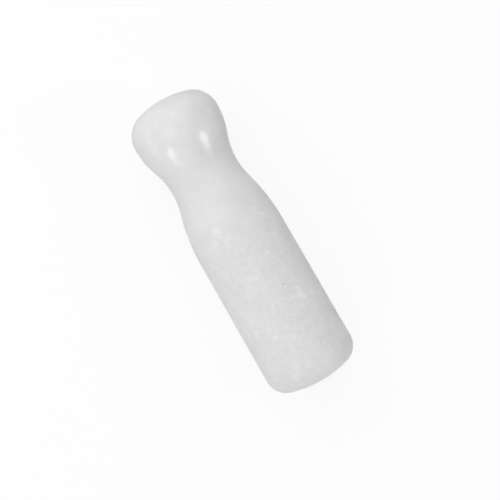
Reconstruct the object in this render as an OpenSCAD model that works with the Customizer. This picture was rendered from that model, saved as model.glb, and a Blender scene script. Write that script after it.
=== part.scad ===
// Marble pestle: one turned piece of stone with a domed knob, a drawn-in neck
// and a slightly flared body that ends in a domed grinding face.
// It lies on its side along X, with the grinding face towards +X.

/* [Overall] */
// Length from the crown of the knob to the grinding face
length = 128; // [105:1:180]
// Diameter of the body at its widest, where it meets the edge of the face
body_d = 38; // [32:0.5:50]

/* [Knob] */
// How much narrower than the body the knob is turned
knob_cut = 0.6; // [0:0.1:4]
// Radius of the dome that crowns the knob
crown_r = 38.5; // [26:0.5:80]
// Radius that rounds the crown into the side of the knob
rim_r = 11; // [4:0.5:16]
// Radius of the knob's underside, from its fullest point down to the neck
fall_r = 35; // [15:1:60]

/* [Neck] */
// How much narrower than the body the neck is turned
neck_cut = 8.92; // [5:0.02:16]
// Radius of the hollow of the neck
neck_r = 30; // [15:1:60]

/* [Body] */
// Radius of the shoulder that rises from the neck
shoulder_r = 75; // [30:1:110]
// How much narrower the body is at the shoulder than at its widest
flare = 0.52; // [0:0.02:4]

/* [Grinding face] */
// Radius of the dome of the grinding face
face_r = 46; // [28:0.5:120]
// Radius that rounds the face into the side of the body
edge_r = 8.5; // [2:0.5:14]

/* [Hidden] */
$fn = 180;

knob_d = body_d - knob_cut;
neck_d = body_d - neck_cut;
shoulder_d = body_d - flare;

// Third side of a right triangle
function leg(hypotenuse, side) = sqrt(hypotenuse ^ 2 - side ^ 2);

// The profile is drawn as [distance from the axis, distance from the crown].
// Its arcs run smoothly into each other, so the centres of two that meet lie
// the sum or the difference of their radii apart.
crown_c = [0, crown_r];

rim_x = knob_d / 2 - rim_r;
rim_c = [rim_x, crown_c.y - leg(crown_r - rim_r, rim_x)];

fall_c = [knob_d / 2 - fall_r, rim_c.y];

neck_x = neck_d / 2 + neck_r;
neck_c = [neck_x, fall_c.y + leg(fall_r + neck_r, neck_x - fall_c.x)];

shoulder_x = shoulder_d / 2 - shoulder_r;
shoulder_c = [shoulder_x, neck_c.y + leg(neck_r + shoulder_r, neck_x - shoulder_x)];

face_c = [0, length - face_r];

edge_x = body_d / 2 - edge_r;
edge_c = [edge_x, face_c.y + leg(face_r - edge_r, edge_x)];

// Station at which one arc hands over to the next, on the line of their centres.
// The smaller of two circles counts as negative where it lies inside the other.
function handover(a, a_r, b, b_r) = a.y + (b.y - a.y) * a_r / (a_r + b_r);
crown_end = handover(crown_c, crown_r, rim_c, -rim_r);
fall_end = handover(fall_c, fall_r, neck_c, neck_r);
neck_end = handover(neck_c, neck_r, shoulder_c, shoulder_r);
edge_end = handover(edge_c, -edge_r, face_c, face_r);

// Slice of the profile between two stations, out to a straight side
module slice(from, to, from_x, to_x) {
    polygon([[0, from], [from_x, from], [to_x, to], [0, to]]);
}

// Slice whose side bulges out in an arc
module bulge(from, to, centre, r) {
    intersection() {
        slice(from, to, body_d, body_d);
        union() {
            translate(centre) circle(r);
            if (centre.x > 0) slice(from, to, centre.x, centre.x);
        }
    }
}

// Slice whose side is hollowed by an arc
module hollow(from, to, centre, r) {
    difference() {
        slice(from, to, centre.x, centre.x);
        translate(centre) circle(r);
    }
}

// Half of the pestle's outline, from the crown to the grinding face
module profile() {
    bulge(0, crown_end, crown_c, crown_r);
    bulge(crown_end, rim_c.y, rim_c, rim_r);
    bulge(fall_c.y, fall_end, fall_c, fall_r);
    hollow(fall_end, neck_end, neck_c, neck_r);
    bulge(neck_end, shoulder_c.y, shoulder_c, shoulder_r);
    slice(shoulder_c.y, edge_c.y, shoulder_d / 2, body_d / 2);
    bulge(edge_c.y, edge_end, edge_c, edge_r);
    bulge(edge_end, length, face_c, face_r);
}

// The whole pestle, turned from one block and laid on its side
module pestle() {
    color("gainsboro")
        translate([-length / 2, 0, body_d / 2])
            rotate([0, 90, 0])
                rotate_extrude()
                    profile();
}

pestle();
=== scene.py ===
# Looks of a white marble pestle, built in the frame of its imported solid, in metres
import math
import random

import bpy
from mathutils import Matrix, Vector, kdtree, noise


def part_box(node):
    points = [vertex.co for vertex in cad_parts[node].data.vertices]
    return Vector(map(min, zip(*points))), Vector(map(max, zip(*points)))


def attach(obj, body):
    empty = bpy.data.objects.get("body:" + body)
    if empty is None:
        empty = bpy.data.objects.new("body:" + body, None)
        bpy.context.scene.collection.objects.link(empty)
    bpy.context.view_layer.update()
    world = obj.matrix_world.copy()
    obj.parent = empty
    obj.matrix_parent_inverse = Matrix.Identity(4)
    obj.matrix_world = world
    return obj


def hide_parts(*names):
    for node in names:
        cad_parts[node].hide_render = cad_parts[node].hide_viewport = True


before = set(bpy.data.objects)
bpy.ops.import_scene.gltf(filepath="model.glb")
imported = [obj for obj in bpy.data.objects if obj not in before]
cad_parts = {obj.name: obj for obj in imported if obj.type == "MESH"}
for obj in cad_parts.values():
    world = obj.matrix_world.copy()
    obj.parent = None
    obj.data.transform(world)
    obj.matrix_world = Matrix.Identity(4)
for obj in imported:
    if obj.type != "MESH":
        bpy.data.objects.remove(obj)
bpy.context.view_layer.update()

MM = 0.001
NODE = "pestle"

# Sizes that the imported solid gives
box_low, box_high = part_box(NODE)
LENGTH = box_high.x - box_low.x
BODY_R = (box_high.y - box_low.y) / 2
CROWN_X = box_low.x
AXIS_Z = (box_low.z + box_high.z) / 2
MIDDLE = Vector((0, 0, AXIS_Z))

# Sizes of the turned profile, the same as the solid's
KNOB_CUT = 0.6 * MM
CROWN_R = 38.5 * MM
RIM_R = 11 * MM
FALL_R = 35 * MM
NECK_CUT = 8.92 * MM
NECK_R = 30 * MM
SHOULDER_R = 75 * MM
FLARE = 0.52 * MM
FACE_R = 46 * MM
EDGE_R = 8.5 * MM

# Mesh: rings of square quads in a cap, quads round the stone, and their length along it
CAP_RINGS = 32
SEGMENTS = 8 * CAP_RINGS
RING_STEP = 0.42 * MM

# Flat map: corners of the sheet that holds the side, middles of the two caps, and half a cap's size
SHEET_LOW = Vector((0.005, 0.2))
SHEET_HIGH = Vector((0.995, 0.99))
CROWN_MIDDLE = (0.25, 0.1)
FACE_MIDDLE = (0.75, 0.1)
CAP_HALF = (0.12, 0.09)

# Slow unevenness left by grinding, always inwards
UNEVEN_DEPTH = 0.06 * MM
UNEVEN_SPAN = 22 * MM

# Pits in the honed stone: station from the crown in mm, angle from the top, width and depth in mm
PITS = [
    (87.2, 18, 2.0, 0.20),
    (92.6, 14, 1.4, 0.12),
    (71.0, 36, 1.2, 0.08),
]

# Shallow pits that the honing left open, scattered over the body and the grinding face, in mm
SMALL_PITS = 90
SMALL_PIT_SEED = 7
SMALL_PIT_FROM = 48
SMALL_PIT_WIDTH = (1.1, 2.4)
SMALL_PIT_DEPTH = (0.02, 0.07)

# Marks in the stone, with painted light among them: station in mm, angle, width in mm and strength,
# which is below 0 for dark ones. Painted shade and painted highlights sit round the deep pit at 87 mm,
# and painted highlights on the rounded edge of the grinding face.
MARKS_AND_PAINTED_LIGHT = [
    (13.5, -8, 6.5, 0.6),
    (14.2, 50, 4.0, 0.8),
    (9.2, 47, 1.8, -0.6),
    (27.2, 14, 2.0, -0.8),
    (57.0, -22, 5.5, 1.0),
    (60.0, -31, 4.0, 0.8),
    (61.0, -14, 2.2, 0.7),
    (73.3, 20, 3.0, 1.0),
    (72.0, -52, 3.0, 0.7),
    # darker inside the pit at 71 mm
    (71.0, 36, 1.2, -0.8),
    (78.6, -12, 3.5, 0.7),
    # painted shade and painted highlights round the deep pit at 87 mm
    (86.9, 18, 1.6, -1.3),
    (88.1, 18, 1.4, 1.8),
    (87.0, 13.5, 1.2, 1.2),
    (90.6, 31, 3.4, 1.2),
    (94.0, 31, 5.2, 1.3),
    (93.2, 20, 1.6, 0.9),
    (98.8, -43, 3.0, 0.9),
    (100.0, -24, 3.2, 0.6),
    (103.2, -21, 2.6, 0.7),
    (104.4, 14, 2.0, 0.6),
    (106.4, 12, 2.2, 0.6),
    (106.8, -2, 3.2, 0.6),
    (117.8, -1, 2.6, 0.8),
    # painted highlights on the rounded edge of the grinding face
    (121.8, -27, 3.5, 0.8),
    (121.6, 16, 3.0, 0.7),
]

# Attribute of the mesh that holds the strength of the marks, painted shade and painted highlights
# included, at each vertex
MARK_AND_LIGHT_ATTRIBUTE = "mark_and_painted_light"

# Patch of rubbing strokes: station in mm and angle, and in mm their length, spread and spacing
RUB_AT = (116.1, -21.5)
RUB_LENGTH = 3.2
RUB_SPREAD = 4.4
RUB_SPACING = 1.4

# Slant of the strokes, and the shares of the patch's size between which they fade out
RUB_SLANT = 0.1
RUB_FADE = (0.35, 0.5)

# How strongly marks, with their painted shade and highlights, and strokes show, which wanders: span in
# mm, least and most
MARK_AND_PAINTED_LIGHT_TONE = (2, 0.03, 0.11)

# Colour of the stone, and patterns that are added to it: span in mm, lowest and highest share
STONE_WHITE = 0.78
CLOUDS = (9, -0.035, 0.03)
MOTTLE = (2.4, -0.026, 0.026)

# Crystals: span in mm, tone up or down, which draws from 0 to 1 get a painted glint, and what that
# painted glint adds
CRYSTAL_SPAN = 0.9
CRYSTAL_TONE = 0.028
GLINT_DRAWS = (0.88, 0.98)
PAINTED_GLINT_TONE = 0.08

# Shares of the mottle and of the crystals with their painted glints that show on smooth stone and on
# honed stone
MOTTLE_SHARE = (0.5, 1)
CRYSTAL_SHARE = (0.3, 1)

# Values between which nearly all of a noise lies
NOISE_LIMITS = (0.3, 0.7)

# Stations from the crown between which the polish comes in, dies away, and the honed grain comes in
POLISH_RISE = (7 * MM, 16 * MM)
POLISH_FALL = (23.5 * MM, 28 * MM)
GRAIN_RISE = (44 * MM, 66 * MM)

# How far those edges wander along the stone, and over what span in mm
POLISH_WANDER = 0.8 * MM
GRAIN_WANDER = 6 * MM
WANDER_SPAN = 14

# Polish: weight on the crown and where fingers hold the knob, and the share left past the neck
POLISH_WEIGHT = (0.25, 0.75)
POLISH_LEFT = 0.06
POLISH_ROUGHNESS = 0.18
POLISH_IOR = 1.6

# The polish goes dull between these turns away from the eye: 0 is straight on, 1 is the rim
POLISH_TURN = (0.28, 0.62)

# Stone under the polish: span in mm, least and most roughness, and its faint gloss
ROUGHNESS = (3, 0.44, 0.54)
GLOSS = 0.03

# Fine grain of the skin: span in mm, depth, and strength on smooth stone and on honed stone
GRAIN_SPAN = 0.7
GRAIN_DEPTH = 0.02 * MM
GRAIN_STRENGTH = (0.02, 0.7)

# Light carried under the surface: how much, and how far
INNER_SHARE = 0.35
INNER_REACH = 2.5 * MM

# Floor: half its size, its white as seen, the part of that which glows, and the light it gives back
FLOOR_HALF = 3.0
FLOOR_WHITE = 0.95
FLOOR_GLOW = 0.87
FLOOR_BOUNCE = 0.5

# How near the stone has to be for the floor's glow to fade into the contact shadow
CONTACT_REACH = 7 * MM

# Light from all round
AMBIENT = 0.265

# Lamps: name, azimuth from +X towards +Y, elevation, distance, width and height in m, and watts
LAMPS = [
    ("top_back", 180, 60, 0.65, (1.0, 1.0), 2.6),
    ("knob_end", 180, 35, 0.65, (1.1, 0.7), 1.5),
    ("face_end", 0, 12, 0.65, (0.5, 0.25), 0.78),
    ("left_front", 315, 12, 0.65, (0.35, 0.25), 0.56),
    ("left_near", 245, 14, 0.35, (0.45, 0.15), 0.19),
    ("catch_left", 298.5, 38, 0.7, (0.16, 0.25), 0.6),
    ("catch_right", 62, 32, 0.7, (0.18, 0.24), 0.8),
]

# The photograph's view: square to the axis, which runs down the picture to the right
LEAN = math.radians(29.8)
PICTURE_PX = 500
PX_PER_MM = 2.52
MIDDLE_PX = (241.1, 240.3)
CAMERA_HEIGHT = 0.9
SENSOR_MM = 36


# Profile, as points of [station from the crown, distance from the axis]

def leg(hypotenuse, side):
    """Third side of a right triangle"""
    return math.sqrt(hypotenuse ** 2 - side ** 2)


def handover(a, a_r, b, b_r):
    """Point where two arcs meet. The smaller of two circles counts as negative inside the other."""
    return a + (b - a) * (a_r / (a_r + b_r))


def arc(centre, start, end):
    """Points from start to just before end, the short way round the centre"""
    radius = (start - centre).length
    first = math.atan2(start.y - centre.y, start.x - centre.x)
    last = math.atan2(end.y - centre.y, end.x - centre.x)
    turn = math.remainder(last - first, math.tau)
    count = max(1, round(abs(turn) * radius / RING_STEP))
    angles = [first + turn * i / count for i in range(count)]
    return [centre + radius * Vector((math.cos(a), math.sin(a))) for a in angles]


def line(start, end):
    """Points from start to just before end along a straight line"""
    count = max(1, round((end - start).length / RING_STEP))
    return [start.lerp(end, i / count) for i in range(count)]


def outline():
    """The turned profile from the crown to the middle of the grinding face"""
    knob_r = BODY_R - KNOB_CUT / 2
    neck_r = BODY_R - NECK_CUT / 2
    shoulder_r = BODY_R - FLARE / 2

    crown_c = Vector((CROWN_R, 0))
    rim_d = knob_r - RIM_R
    rim_c = Vector((CROWN_R - leg(CROWN_R - RIM_R, rim_d), rim_d))
    fall_c = Vector((rim_c.x, knob_r - FALL_R))
    neck_d = neck_r + NECK_R
    neck_c = Vector((fall_c.x + leg(FALL_R + NECK_R, neck_d - fall_c.y), neck_d))
    shoulder_d = shoulder_r - SHOULDER_R
    shoulder_x = neck_c.x + leg(NECK_R + SHOULDER_R, neck_d - shoulder_d)
    shoulder_c = Vector((shoulder_x, shoulder_d))
    face_c = Vector((LENGTH - FACE_R, 0))
    edge_d = BODY_R - EDGE_R
    edge_c = Vector((face_c.x + leg(FACE_R - EDGE_R, edge_d), edge_d))

    crown = Vector((0, 0))
    crown_end = handover(crown_c, CROWN_R, rim_c, -RIM_R)
    rim_end = Vector((rim_c.x, knob_r))
    fall_end = handover(fall_c, FALL_R, neck_c, NECK_R)
    neck_end = handover(neck_c, NECK_R, shoulder_c, SHOULDER_R)
    shoulder_end = Vector((shoulder_c.x, shoulder_r))
    flank_end = Vector((edge_c.x, BODY_R))
    edge_end = handover(edge_c, -EDGE_R, face_c, FACE_R)
    face = Vector((LENGTH, 0))
    return (
        arc(crown_c, crown, crown_end)
        + arc(rim_c, crown_end, rim_end)
        + arc(fall_c, rim_end, fall_end)
        + arc(neck_c, fall_end, neck_end)
        + arc(shoulder_c, neck_end, shoulder_end)
        + line(shoulder_end, flank_end)
        + arc(edge_c, flank_end, edge_end)
        + arc(face_c, edge_end, face)
        + [face]
    )


# The profile, and the radius of the wider of the two caps
PROFILE = outline()
CAP_R = max(PROFILE[CAP_RINGS].y, PROFILE[-1 - CAP_RINGS].y)


def place(point, angle):
    """Point of the profile turned round the axis, by an angle from the top towards +Y"""
    y = point.y * math.sin(angle)
    z = point.y * math.cos(angle)
    return Vector((CROWN_X + point.x, y, AXIS_Z + z))


def on_stone(station, degrees):
    """Point of the turned surface at a station in mm and an angle from the top towards +Y"""
    along = station * MM
    nearest = min(PROFILE, key=lambda point: abs(point.x - along))
    return place(nearest, math.radians(degrees))


# Mesh of the stone: rings of quads along its side, and a cap of square quads at each end

def cap_spot(i, j):
    """Ring and angle of a corner of the square grid that fills a cap"""
    ring = max(abs(i), abs(j))
    if ring == 0:
        return 0, 0.0
    if abs(i) >= abs(j):
        turn = math.pi / 4 * j / i + (math.pi if i < 0 else 0)
    else:
        turn = math.pi / 2 - math.pi / 4 * i / j + (math.pi if j < 0 else 0)
    return ring, turn % math.tau


def add_cap(verts, faces, points, rim, winding):
    """Quads over the points of the profile from its tip outwards, up to the ring that starts at rim"""
    span = range(-CAP_RINGS, CAP_RINGS + 1)
    corner = {}
    for i in span:
        for j in span:
            ring, turn = cap_spot(i, j)
            if ring == CAP_RINGS:
                corner[i, j] = rim + round(turn / math.tau * SEGMENTS) % SEGMENTS
            else:
                corner[i, j] = len(verts)
                verts.append(place(points[ring], turn))
    for i in span[:-1]:
        for j in span[:-1]:
            quad = (corner[i, j], corner[i + 1, j], corner[i + 1, j + 1], corner[i, j + 1])
            faces.append(quad[::winding])


def stone_mesh():
    """Closed mesh of quads over the whole profile, first the side, then the crown, then the face"""
    rings = len(PROFILE) - 1 - 2 * CAP_RINGS
    verts = []
    faces = []
    for point in PROFILE[CAP_RINGS:-CAP_RINGS]:
        verts += [place(point, math.tau * a / SEGMENTS) for a in range(SEGMENTS)]
    for n in range(rings):
        here = n * SEGMENTS
        there = here + SEGMENTS
        for a in range(SEGMENTS):
            b = (a + 1) % SEGMENTS
            faces.append((here + a, there + a, there + b, here + b))
    add_cap(verts, faces, PROFILE, 0, 1)
    add_cap(verts, faces, PROFILE[::-1], rings * SEGMENTS, -1)

    mesh = bpy.data.meshes.new("pestle_stone")
    mesh.from_pydata(verts, [], faces)
    mesh.shade_smooth()
    lay_flat(mesh, rings)
    return mesh


def side_corners(index, rings):
    """Places on the flat map of the corners of a quad of the side"""
    row, a = divmod(index, SEGMENTS)
    left = (a + SEGMENTS // 2) % SEGMENTS
    corners = ((left, row), (left, row + 1), (left + 1, row + 1), (left + 1, row))
    size = SHEET_HIGH - SHEET_LOW
    return [SHEET_LOW + size * Vector((i / SEGMENTS, 1 - j / rings)) for i, j in corners]


def cap_corner(point, on_crown):
    """Place on the flat map of a point on the cap of the crown or of the grinding face"""
    y = point.y / CAP_R
    z = (point.z - AXIS_Z) / CAP_R
    middle = CROWN_MIDDLE if on_crown else FACE_MIDDLE
    across, up = (z, y) if on_crown else (y, z)
    return middle[0] + across * CAP_HALF[0], middle[1] + up * CAP_HALF[1]


def lay_flat(mesh, rings):
    """Flat map of the stone: the side as a sheet cut along the bottom, and the two caps below it"""
    flat = mesh.uv_layers.new(name="OFBake")
    side_end = rings * SEGMENTS
    crown_end = side_end + (2 * CAP_RINGS) ** 2
    for face in mesh.polygons:
        if face.index < side_end:
            spots = side_corners(face.index, rings)
        else:
            on_crown = face.index < crown_end
            spots = [cap_corner(mesh.vertices[v].co, on_crown) for v in face.vertices]
        for loop, spot in zip(face.loop_indices, spots):
            flat.uv[loop].vector = spot


def small_pits():
    """Stations, angles, widths and depths of the shallow pits"""
    draw = random.Random(SMALL_PIT_SEED)
    pits = []
    for _ in range(SMALL_PITS):
        station = draw.uniform(SMALL_PIT_FROM, LENGTH / MM)
        degrees = draw.uniform(-180, 180)
        width = draw.uniform(*SMALL_PIT_WIDTH)
        depth = draw.uniform(*SMALL_PIT_DEPTH)
        pits.append((station, degrees, width, depth))
    return pits


def vertex_finder(mesh):
    """Search tree of the mesh's vertices"""
    finder = kdtree.KDTree(len(mesh.vertices))
    for vertex in mesh.vertices:
        finder.insert(vertex.co, vertex.index)
    finder.balance()
    return finder


def around(finder, spots):
    """Vertices within each spot, the spot's last value, and nearness: 1 in its middle, 0 at its edge"""
    for station, degrees, width, value in spots:
        reach = width / 2 * MM
        for _, index, far in finder.find_range(on_stone(station, degrees), reach):
            yield index, value, 1 - (far / reach) ** 2


def mark_stone_and_paint_light(mesh, finder):
    """Writes the strength of the marks, painted shade and highlights included, to the vertices, for the
    marble to read
    """
    mark_and_painted_light = mesh.attributes.new(MARK_AND_LIGHT_ATTRIBUTE, "FLOAT", "POINT")
    for index, strength, near in around(finder, MARKS_AND_PAINTED_LIGHT):
        mark_and_painted_light.data[index].value += strength * near


def wear_stone(mesh, finder):
    """Sinks the skin a little, unevenly and with pits, so nothing stands proud of the turned form"""
    depth = [UNEVEN_DEPTH * (0.5 + 0.5 * noise.noise(v.co / UNEVEN_SPAN)) for v in mesh.vertices]
    for index, deep, near in around(finder, PITS + small_pits()):
        depth[index] += deep * MM * near ** 2
    normals = [vertex.normal.copy() for vertex in mesh.vertices]
    for vertex, normal in zip(mesh.vertices, normals):
        vertex.co -= normal * max(0, depth[vertex.index])
    mesh.update()


def make_stone():
    """The pestle in marble, in place of its plain solid"""
    mesh = stone_mesh()
    finder = vertex_finder(mesh)
    mark_stone_and_paint_light(mesh, finder)
    wear_stone(mesh, finder)
    mesh.materials.append(marble())
    stone = bpy.data.objects.new("pestle_stone", mesh)
    bpy.context.collection.objects.link(stone)
    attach(stone, "root")
    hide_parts(NODE)


# Nodes that the materials share

def add_node(tree, kind, values=None):
    """New node with some of its inputs set"""
    node = tree.nodes.new(kind)
    for name, value in (values or {}).items():
        node.inputs[name].default_value = value
    return node


def maths(tree, operation, a, b=0):
    """Socket with a sum, product or the like of sockets or numbers"""
    node = add_node(tree, "ShaderNodeMath")
    node.operation = operation
    for socket, value in zip(node.inputs, (a, b)):
        if isinstance(value, (int, float)):
            socket.default_value = value
        else:
            tree.links.new(value, socket)
    return node.outputs[0]


def remap(tree, value, start, end, low=0, high=1, easing="LINEAR"):
    """Socket that goes from low to high while a value goes from start to end"""
    node = add_node(tree, "ShaderNodeMapRange", {
        "From Min": start,
        "From Max": end,
        "To Min": low,
        "To Max": high,
    })
    node.interpolation_type = easing
    tree.links.new(value, node.inputs["Value"])
    return node.outputs["Result"]


def between(tree, share, low, high):
    """Socket between two values by a share"""
    return remap(tree, share, 0, 1, low, high)


def axes(tree, vector):
    """Sockets with the X, Y and Z of a vector"""
    split = add_node(tree, "ShaderNodeSeparateXYZ")
    tree.links.new(vector, split.inputs["Vector"])
    return split.outputs


def noise_field(tree, coords, span, low, high, detail=4, rough=0.55):
    """Socket with a noise of a given span in mm, brought between two values"""
    field = add_node(tree, "ShaderNodeTexNoise", {
        "Scale": 1 / (span * MM),
        "Detail": detail,
        "Roughness": rough,
    })
    tree.links.new(coords, field.inputs["Vector"])
    return remap(tree, field.outputs["Fac"], *NOISE_LIMITS, low, high)


def seen_directly(tree):
    """Socket that is 1 for what the camera sees, also in gloss and through glass"""
    path = add_node(tree, "ShaderNodeLightPath").outputs
    straight = maths(tree, "MAXIMUM", path["Is Camera Ray"], path["Is Glossy Ray"])
    return maths(tree, "MAXIMUM", straight, path["Is Transmission Ray"])


# Marble

def fade_in(tree, coords, fade, wander):
    """Socket that goes from 0 to 1 between two stations along the stone, with a wandering edge"""
    drift = noise_field(tree, coords, WANDER_SPAN, -wander, wander, detail=1)
    along = maths(tree, "ADD", axes(tree, coords)["X"], drift)
    return remap(tree, along, CROWN_X + fade[0], CROWN_X + fade[1], easing="SMOOTHSTEP")


def crystals_and_glints(tree, coords):
    """Socket with the tone of separate crystals, a few of which get a painted glint"""
    cells = add_node(tree, "ShaderNodeTexVoronoi", {"Scale": 1 / (CRYSTAL_SPAN * MM)})
    tree.links.new(coords, cells.inputs["Vector"])
    draw = cells.outputs["Color"]
    tone = between(tree, draw, -CRYSTAL_TONE, CRYSTAL_TONE)
    # the highest draws get a painted glint on top of their tone
    return maths(tree, "ADD", tone, remap(tree, draw, *GLINT_DRAWS, 0, PAINTED_GLINT_TONE))


def rubbing(tree, coords):
    """Socket with a few short strokes side by side, where the body was rubbed"""
    away = add_node(tree, "ShaderNodeVectorMath", {1: on_stone(*RUB_AT)})
    away.operation = "SUBTRACT"
    tree.links.new(coords, away.inputs[0])
    x, y, z = axes(tree, away.outputs["Vector"])
    along = maths(tree, "ADD", x, maths(tree, "MULTIPLY", y, RUB_SLANT))
    turns = maths(tree, "MULTIPLY", along, math.tau / (RUB_SPACING * MM))
    strokes = maths(tree, "SINE", turns)
    for offset, size in ((along, RUB_SPREAD), (y, RUB_LENGTH), (z, RUB_LENGTH)):
        start, end = (share * size * MM for share in RUB_FADE)
        inside = remap(tree, maths(tree, "ABSOLUTE", offset), start, end, 1, 0)
        strokes = maths(tree, "MULTIPLY", strokes, inside)
    return strokes


def stone_tone(tree, coords, honed):
    """Socket with the stone's tone, about 1: clouds, mottle, crystals with painted glints, and the
    marks with their painted shade and highlights, and rubbing
    """
    clouds = noise_field(tree, coords, *CLOUDS)
    mottle = noise_field(tree, coords, *MOTTLE, detail=3, rough=0.65)
    mark_and_painted_light = add_node(tree, "ShaderNodeAttribute")
    mark_and_painted_light.attribute_name = MARK_AND_LIGHT_ATTRIBUTE
    ragged = noise_field(tree, coords, *MARK_AND_PAINTED_LIGHT_TONE, detail=3)
    tone = maths(tree, "ADD", clouds, 1)
    for layer, share in (
        (mottle, between(tree, honed, *MOTTLE_SHARE)),
        (crystals_and_glints(tree, coords), between(tree, honed, *CRYSTAL_SHARE)),
        # marks, with painted shade and highlights round a pit and on the grinding edge
        (mark_and_painted_light.outputs["Fac"], ragged),
        (rubbing(tree, coords), ragged),
    ):
        tone = maths(tree, "ADD", tone, maths(tree, "MULTIPLY", layer, share))
    return tone


def polish(tree, coords):
    """Socket with the weight of the polish, worn off at the neck and dull at a glancing angle"""
    held = fade_in(tree, coords, POLISH_RISE, POLISH_WANDER)
    worn = fade_in(tree, coords, POLISH_FALL, POLISH_WANDER)
    weight = maths(
        tree, "MULTIPLY", between(tree, held, *POLISH_WEIGHT), between(tree, worn, 1, POLISH_LEFT)
    )
    turned = add_node(tree, "ShaderNodeLayerWeight").outputs["Facing"]
    return maths(tree, "MULTIPLY", weight, remap(tree, turned, *POLISH_TURN, 1, 0))


def grain(tree, coords, honed):
    """Socket with the normal of the fine grain that honing leaves"""
    bump = add_node(tree, "ShaderNodeBump", {"Distance": GRAIN_DEPTH})
    tree.links.new(noise_field(tree, coords, GRAIN_SPAN, 0, 1, detail=2), bump.inputs["Height"])
    tree.links.new(between(tree, honed, *GRAIN_STRENGTH), bump.inputs["Strength"])
    return bump.outputs["Normal"]


def marble():
    """White marble, polished where fingers hold the knob and honed on the body"""
    material = bpy.data.materials.new("marble")
    material.use_nodes = True
    tree = material.node_tree
    surface = tree.nodes["Principled BSDF"].inputs
    coords = add_node(tree, "ShaderNodeTexCoord").outputs["Object"]
    honed = fade_in(tree, coords, GRAIN_RISE, GRAIN_WANDER)

    colour = maths(tree, "MULTIPLY", stone_tone(tree, coords, honed), STONE_WHITE)
    tree.links.new(colour, surface["Base Color"])
    tree.links.new(noise_field(tree, coords, *ROUGHNESS), surface["Roughness"])
    tree.links.new(grain(tree, coords, honed), surface["Normal"])
    surface["Specular IOR Level"].default_value = GLOSS
    surface["Subsurface Weight"].default_value = INNER_SHARE
    surface["Subsurface Radius"].default_value = (1, 1, 1)
    surface["Subsurface Scale"].default_value = INNER_REACH
    tree.links.new(polish(tree, coords), surface["Coat Weight"])
    surface["Coat Roughness"].default_value = POLISH_ROUGHNESS
    surface["Coat IOR"].default_value = POLISH_IOR
    return material


# Floor, light and camera

def floor_paper():
    """White paper that shows as plain white, keeps a faint shadow and gives little light back"""
    material = bpy.data.materials.new("floor_paper")
    material.use_nodes = True
    tree = material.node_tree
    tree.nodes.remove(tree.nodes["Principled BSDF"])
    seen = seen_directly(tree)
    diffuse = add_node(tree, "ShaderNodeBsdfDiffuse")
    tree.links.new(between(tree, seen, FLOOR_BOUNCE, FLOOR_WHITE), diffuse.inputs["Color"])
    glow = add_node(tree, "ShaderNodeEmission", {"Color": (1, 1, 1, 1), "Strength": 1})
    gap = add_node(tree, "ShaderNodeAmbientOcclusion", {"Distance": CONTACT_REACH})
    lit = maths(tree, "MULTIPLY", gap.outputs["AO"], FLOOR_GLOW)
    mix = add_node(tree, "ShaderNodeMixShader")
    tree.links.new(maths(tree, "MULTIPLY", seen, lit), mix.inputs["Fac"])
    tree.links.new(diffuse.outputs["BSDF"], mix.inputs[1])
    tree.links.new(glow.outputs["Emission"], mix.inputs[2])
    tree.links.new(mix.outputs["Shader"], tree.nodes["Material Output"].inputs["Surface"])
    return material


def make_floor():
    """Plain floor that the pestle lies on"""
    mesh = bpy.data.meshes.new("floor")
    corners = [(x * FLOOR_HALF, y * FLOOR_HALF, 0) for x, y in ((-1, -1), (1, -1), (1, 1), (-1, 1))]
    mesh.from_pydata(corners, [], [(0, 1, 2, 3)])
    mesh.materials.append(floor_paper())
    floor = bpy.data.objects.new("floor", mesh)
    bpy.context.collection.objects.link(floor)


def make_world():
    """Even light from all round, which shows as plain white"""
    world = bpy.data.worlds.new("studio")
    bpy.context.scene.world = world
    world.use_nodes = True
    tree = world.node_tree
    ambient = tree.nodes["Background"]
    ambient.inputs["Color"].default_value = (AMBIENT, AMBIENT, AMBIENT, 1)
    white = add_node(tree, "ShaderNodeBackground", {"Color": (1, 1, 1, 1), "Strength": 1})
    mix = add_node(tree, "ShaderNodeMixShader")
    tree.links.new(seen_directly(tree), mix.inputs["Fac"])
    tree.links.new(ambient.outputs["Background"], mix.inputs[1])
    tree.links.new(white.outputs["Background"], mix.inputs[2])
    tree.links.new(mix.outputs["Shader"], tree.nodes["World Output"].inputs["Surface"])


def make_lamp(name, azimuth, elevation, distance, size, watts):
    """Soft lamp that faces the middle of the pestle"""
    data = bpy.data.lights.new(name, "AREA")
    data.shape = "RECTANGLE"
    data.size, data.size_y = size
    data.energy = watts
    lamp = bpy.data.objects.new(name, data)
    bpy.context.collection.objects.link(lamp)
    turn = math.radians(azimuth)
    rise = math.radians(elevation)
    level = Vector((math.cos(turn), math.sin(turn), 0))
    towards = level * math.cos(rise) + Vector((0, 0, math.sin(rise)))
    lamp.location = MIDDLE + towards * distance
    lamp.rotation_euler = towards.to_track_quat("Z", "Y").to_euler()
    lamp.visible_camera = False


def make_camera():
    """Camera that looks down on the pestle, turned so that the axis leans as in the photograph"""
    data = bpy.data.cameras.new("camera")
    camera = bpy.data.objects.new("camera", data)
    bpy.context.collection.objects.link(camera)
    bpy.context.scene.camera = camera

    right = Vector((math.sin(LEAN), math.cos(LEAN), 0))
    up = Vector((-math.cos(LEAN), math.sin(LEAN), 0))
    back = Vector((0, 0, 1))
    px = MM / PX_PER_MM
    data.sensor_width = SENSOR_MM
    data.lens = SENSOR_MM * CAMERA_HEIGHT / (PICTURE_PX * px)
    aside = (PICTURE_PX / 2 - MIDDLE_PX[0]) * px
    above = (MIDDLE_PX[1] - PICTURE_PX / 2) * px
    spot = MIDDLE + right * aside + up * above + back * CAMERA_HEIGHT
    turn = Matrix((right, up, back)).transposed().to_4x4()
    camera.matrix_world = Matrix.Translation(spot) @ turn


bpy.context.scene.view_settings.view_transform = "Standard"
make_camera()
make_floor()
make_world()
for lamp in LAMPS:
    make_lamp(*lamp)
make_stone()
